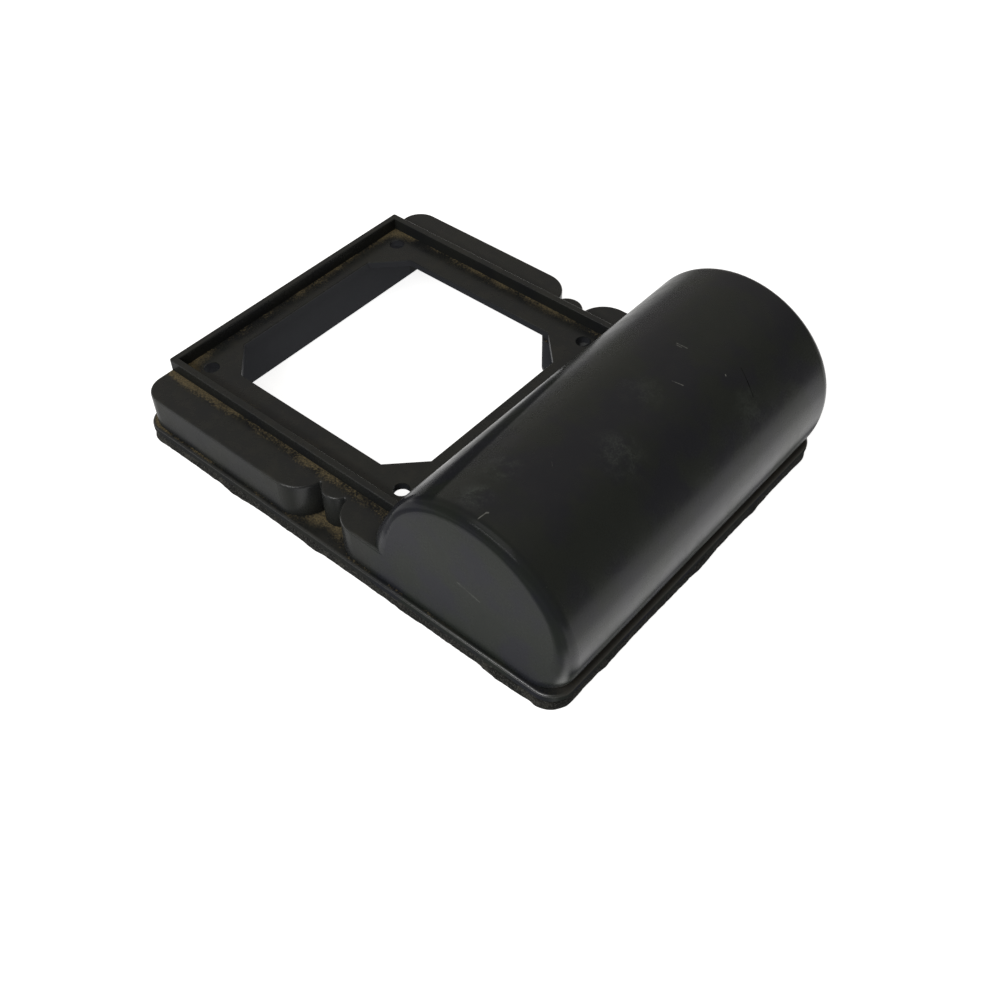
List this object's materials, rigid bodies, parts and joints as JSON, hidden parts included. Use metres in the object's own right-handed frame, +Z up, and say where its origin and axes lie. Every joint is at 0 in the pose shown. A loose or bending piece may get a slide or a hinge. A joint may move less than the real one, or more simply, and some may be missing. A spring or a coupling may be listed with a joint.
{
  "type": "roll film negative carrier housing",
  "caption": "Upper half of a negative carrier: black plate with chamfered light window and raised rim, half-round hood over a film spool, scalloped sides and a foam-sealed flange.",
  "frame": {"origin": "centre of the four-hole pattern, on the optical axis, at the plate's top face", "axes": "+X towards the roll-film hood, +Y across the film, +Z up out of the light window"},
  "size_m": [0.1644, 0.1254, 0.0532],
  "materials": {
    "moulded_black": "satin moulded, dusty",
    "seal_foam": "open-cell foam, ragged",
    "black_plush": "short pile",
    "blackened_steel": "blackened sheet",
    "zinc_sheet": "zinc-plated sheet",
    "zinc_screw": "zinc-plated",
    "ground_steel": "ground",
    "spring_steel": "spring steel",
    "felt": "felt",
    "white_nylon": "natural nylon",
    "core_aluminium": "satin",
    "spool_plastic": "moulded",
    "knob_aluminium": "turned",
    "roller_aluminium": "turned, satin"
  },
  "bodies": {
    "housing": {"top_housing": "moulded_black", "foam_light_seal": "seal_foam", "light_trap_plush": "black_plush", "roller_hanger_near": "blackened_steel", "roller_hanger_far": "blackened_steel", "hanger_screws": "zinc_screw", "guide_roller_shaft": "ground_steel", "shaft_clips": "spring_steel", "fixed_pivot_bracket": "zinc_sheet", "sprung_pivot_bracket": "zinc_sheet", "bracket_screws": "zinc_screw", "fixed_pivot_pin": "ground_steel", "drag_washer": "felt", "thrust_washer": "white_nylon", "pin_bush": "white_nylon", "pin_spring": "spring_steel"},
    "spool": {"spool_core": "core_aluminium", "spool_flange_near": "spool_plastic", "spool_flange_far": "spool_plastic"},
    "release_pin": {"sprung_pivot_pin": "ground_steel", "pin_clip": "spring_steel", "pull_knob": "knob_aluminium"},
    "guide_roller": {"guide_roller": "roller_aluminium", "guide_roller_bushes": "white_nylon"}
  },
  "joints": [
    {"name": "spool_spin", "type": "hinge", "parent": "housing", "child": "spool", "pos_m": [0.083, 0, 0.0035], "axis": [0, 1, 0], "continuous": true},
    {"name": "pin_pull", "type": "slide", "parent": "housing", "child": "release_pin", "axis": [0, 1, 0], "range_m": [0, 0.0045], "stiffness_N_per_m": 250, "springref_m": -0.004, "deforming": ["pin_spring"]},
    {"name": "guide_roller_spin", "type": "hinge", "parent": "housing", "child": "guide_roller", "pos_m": [0.05312, 0, -0.0126], "axis": [0, 1, 0], "continuous": true}
  ]
}
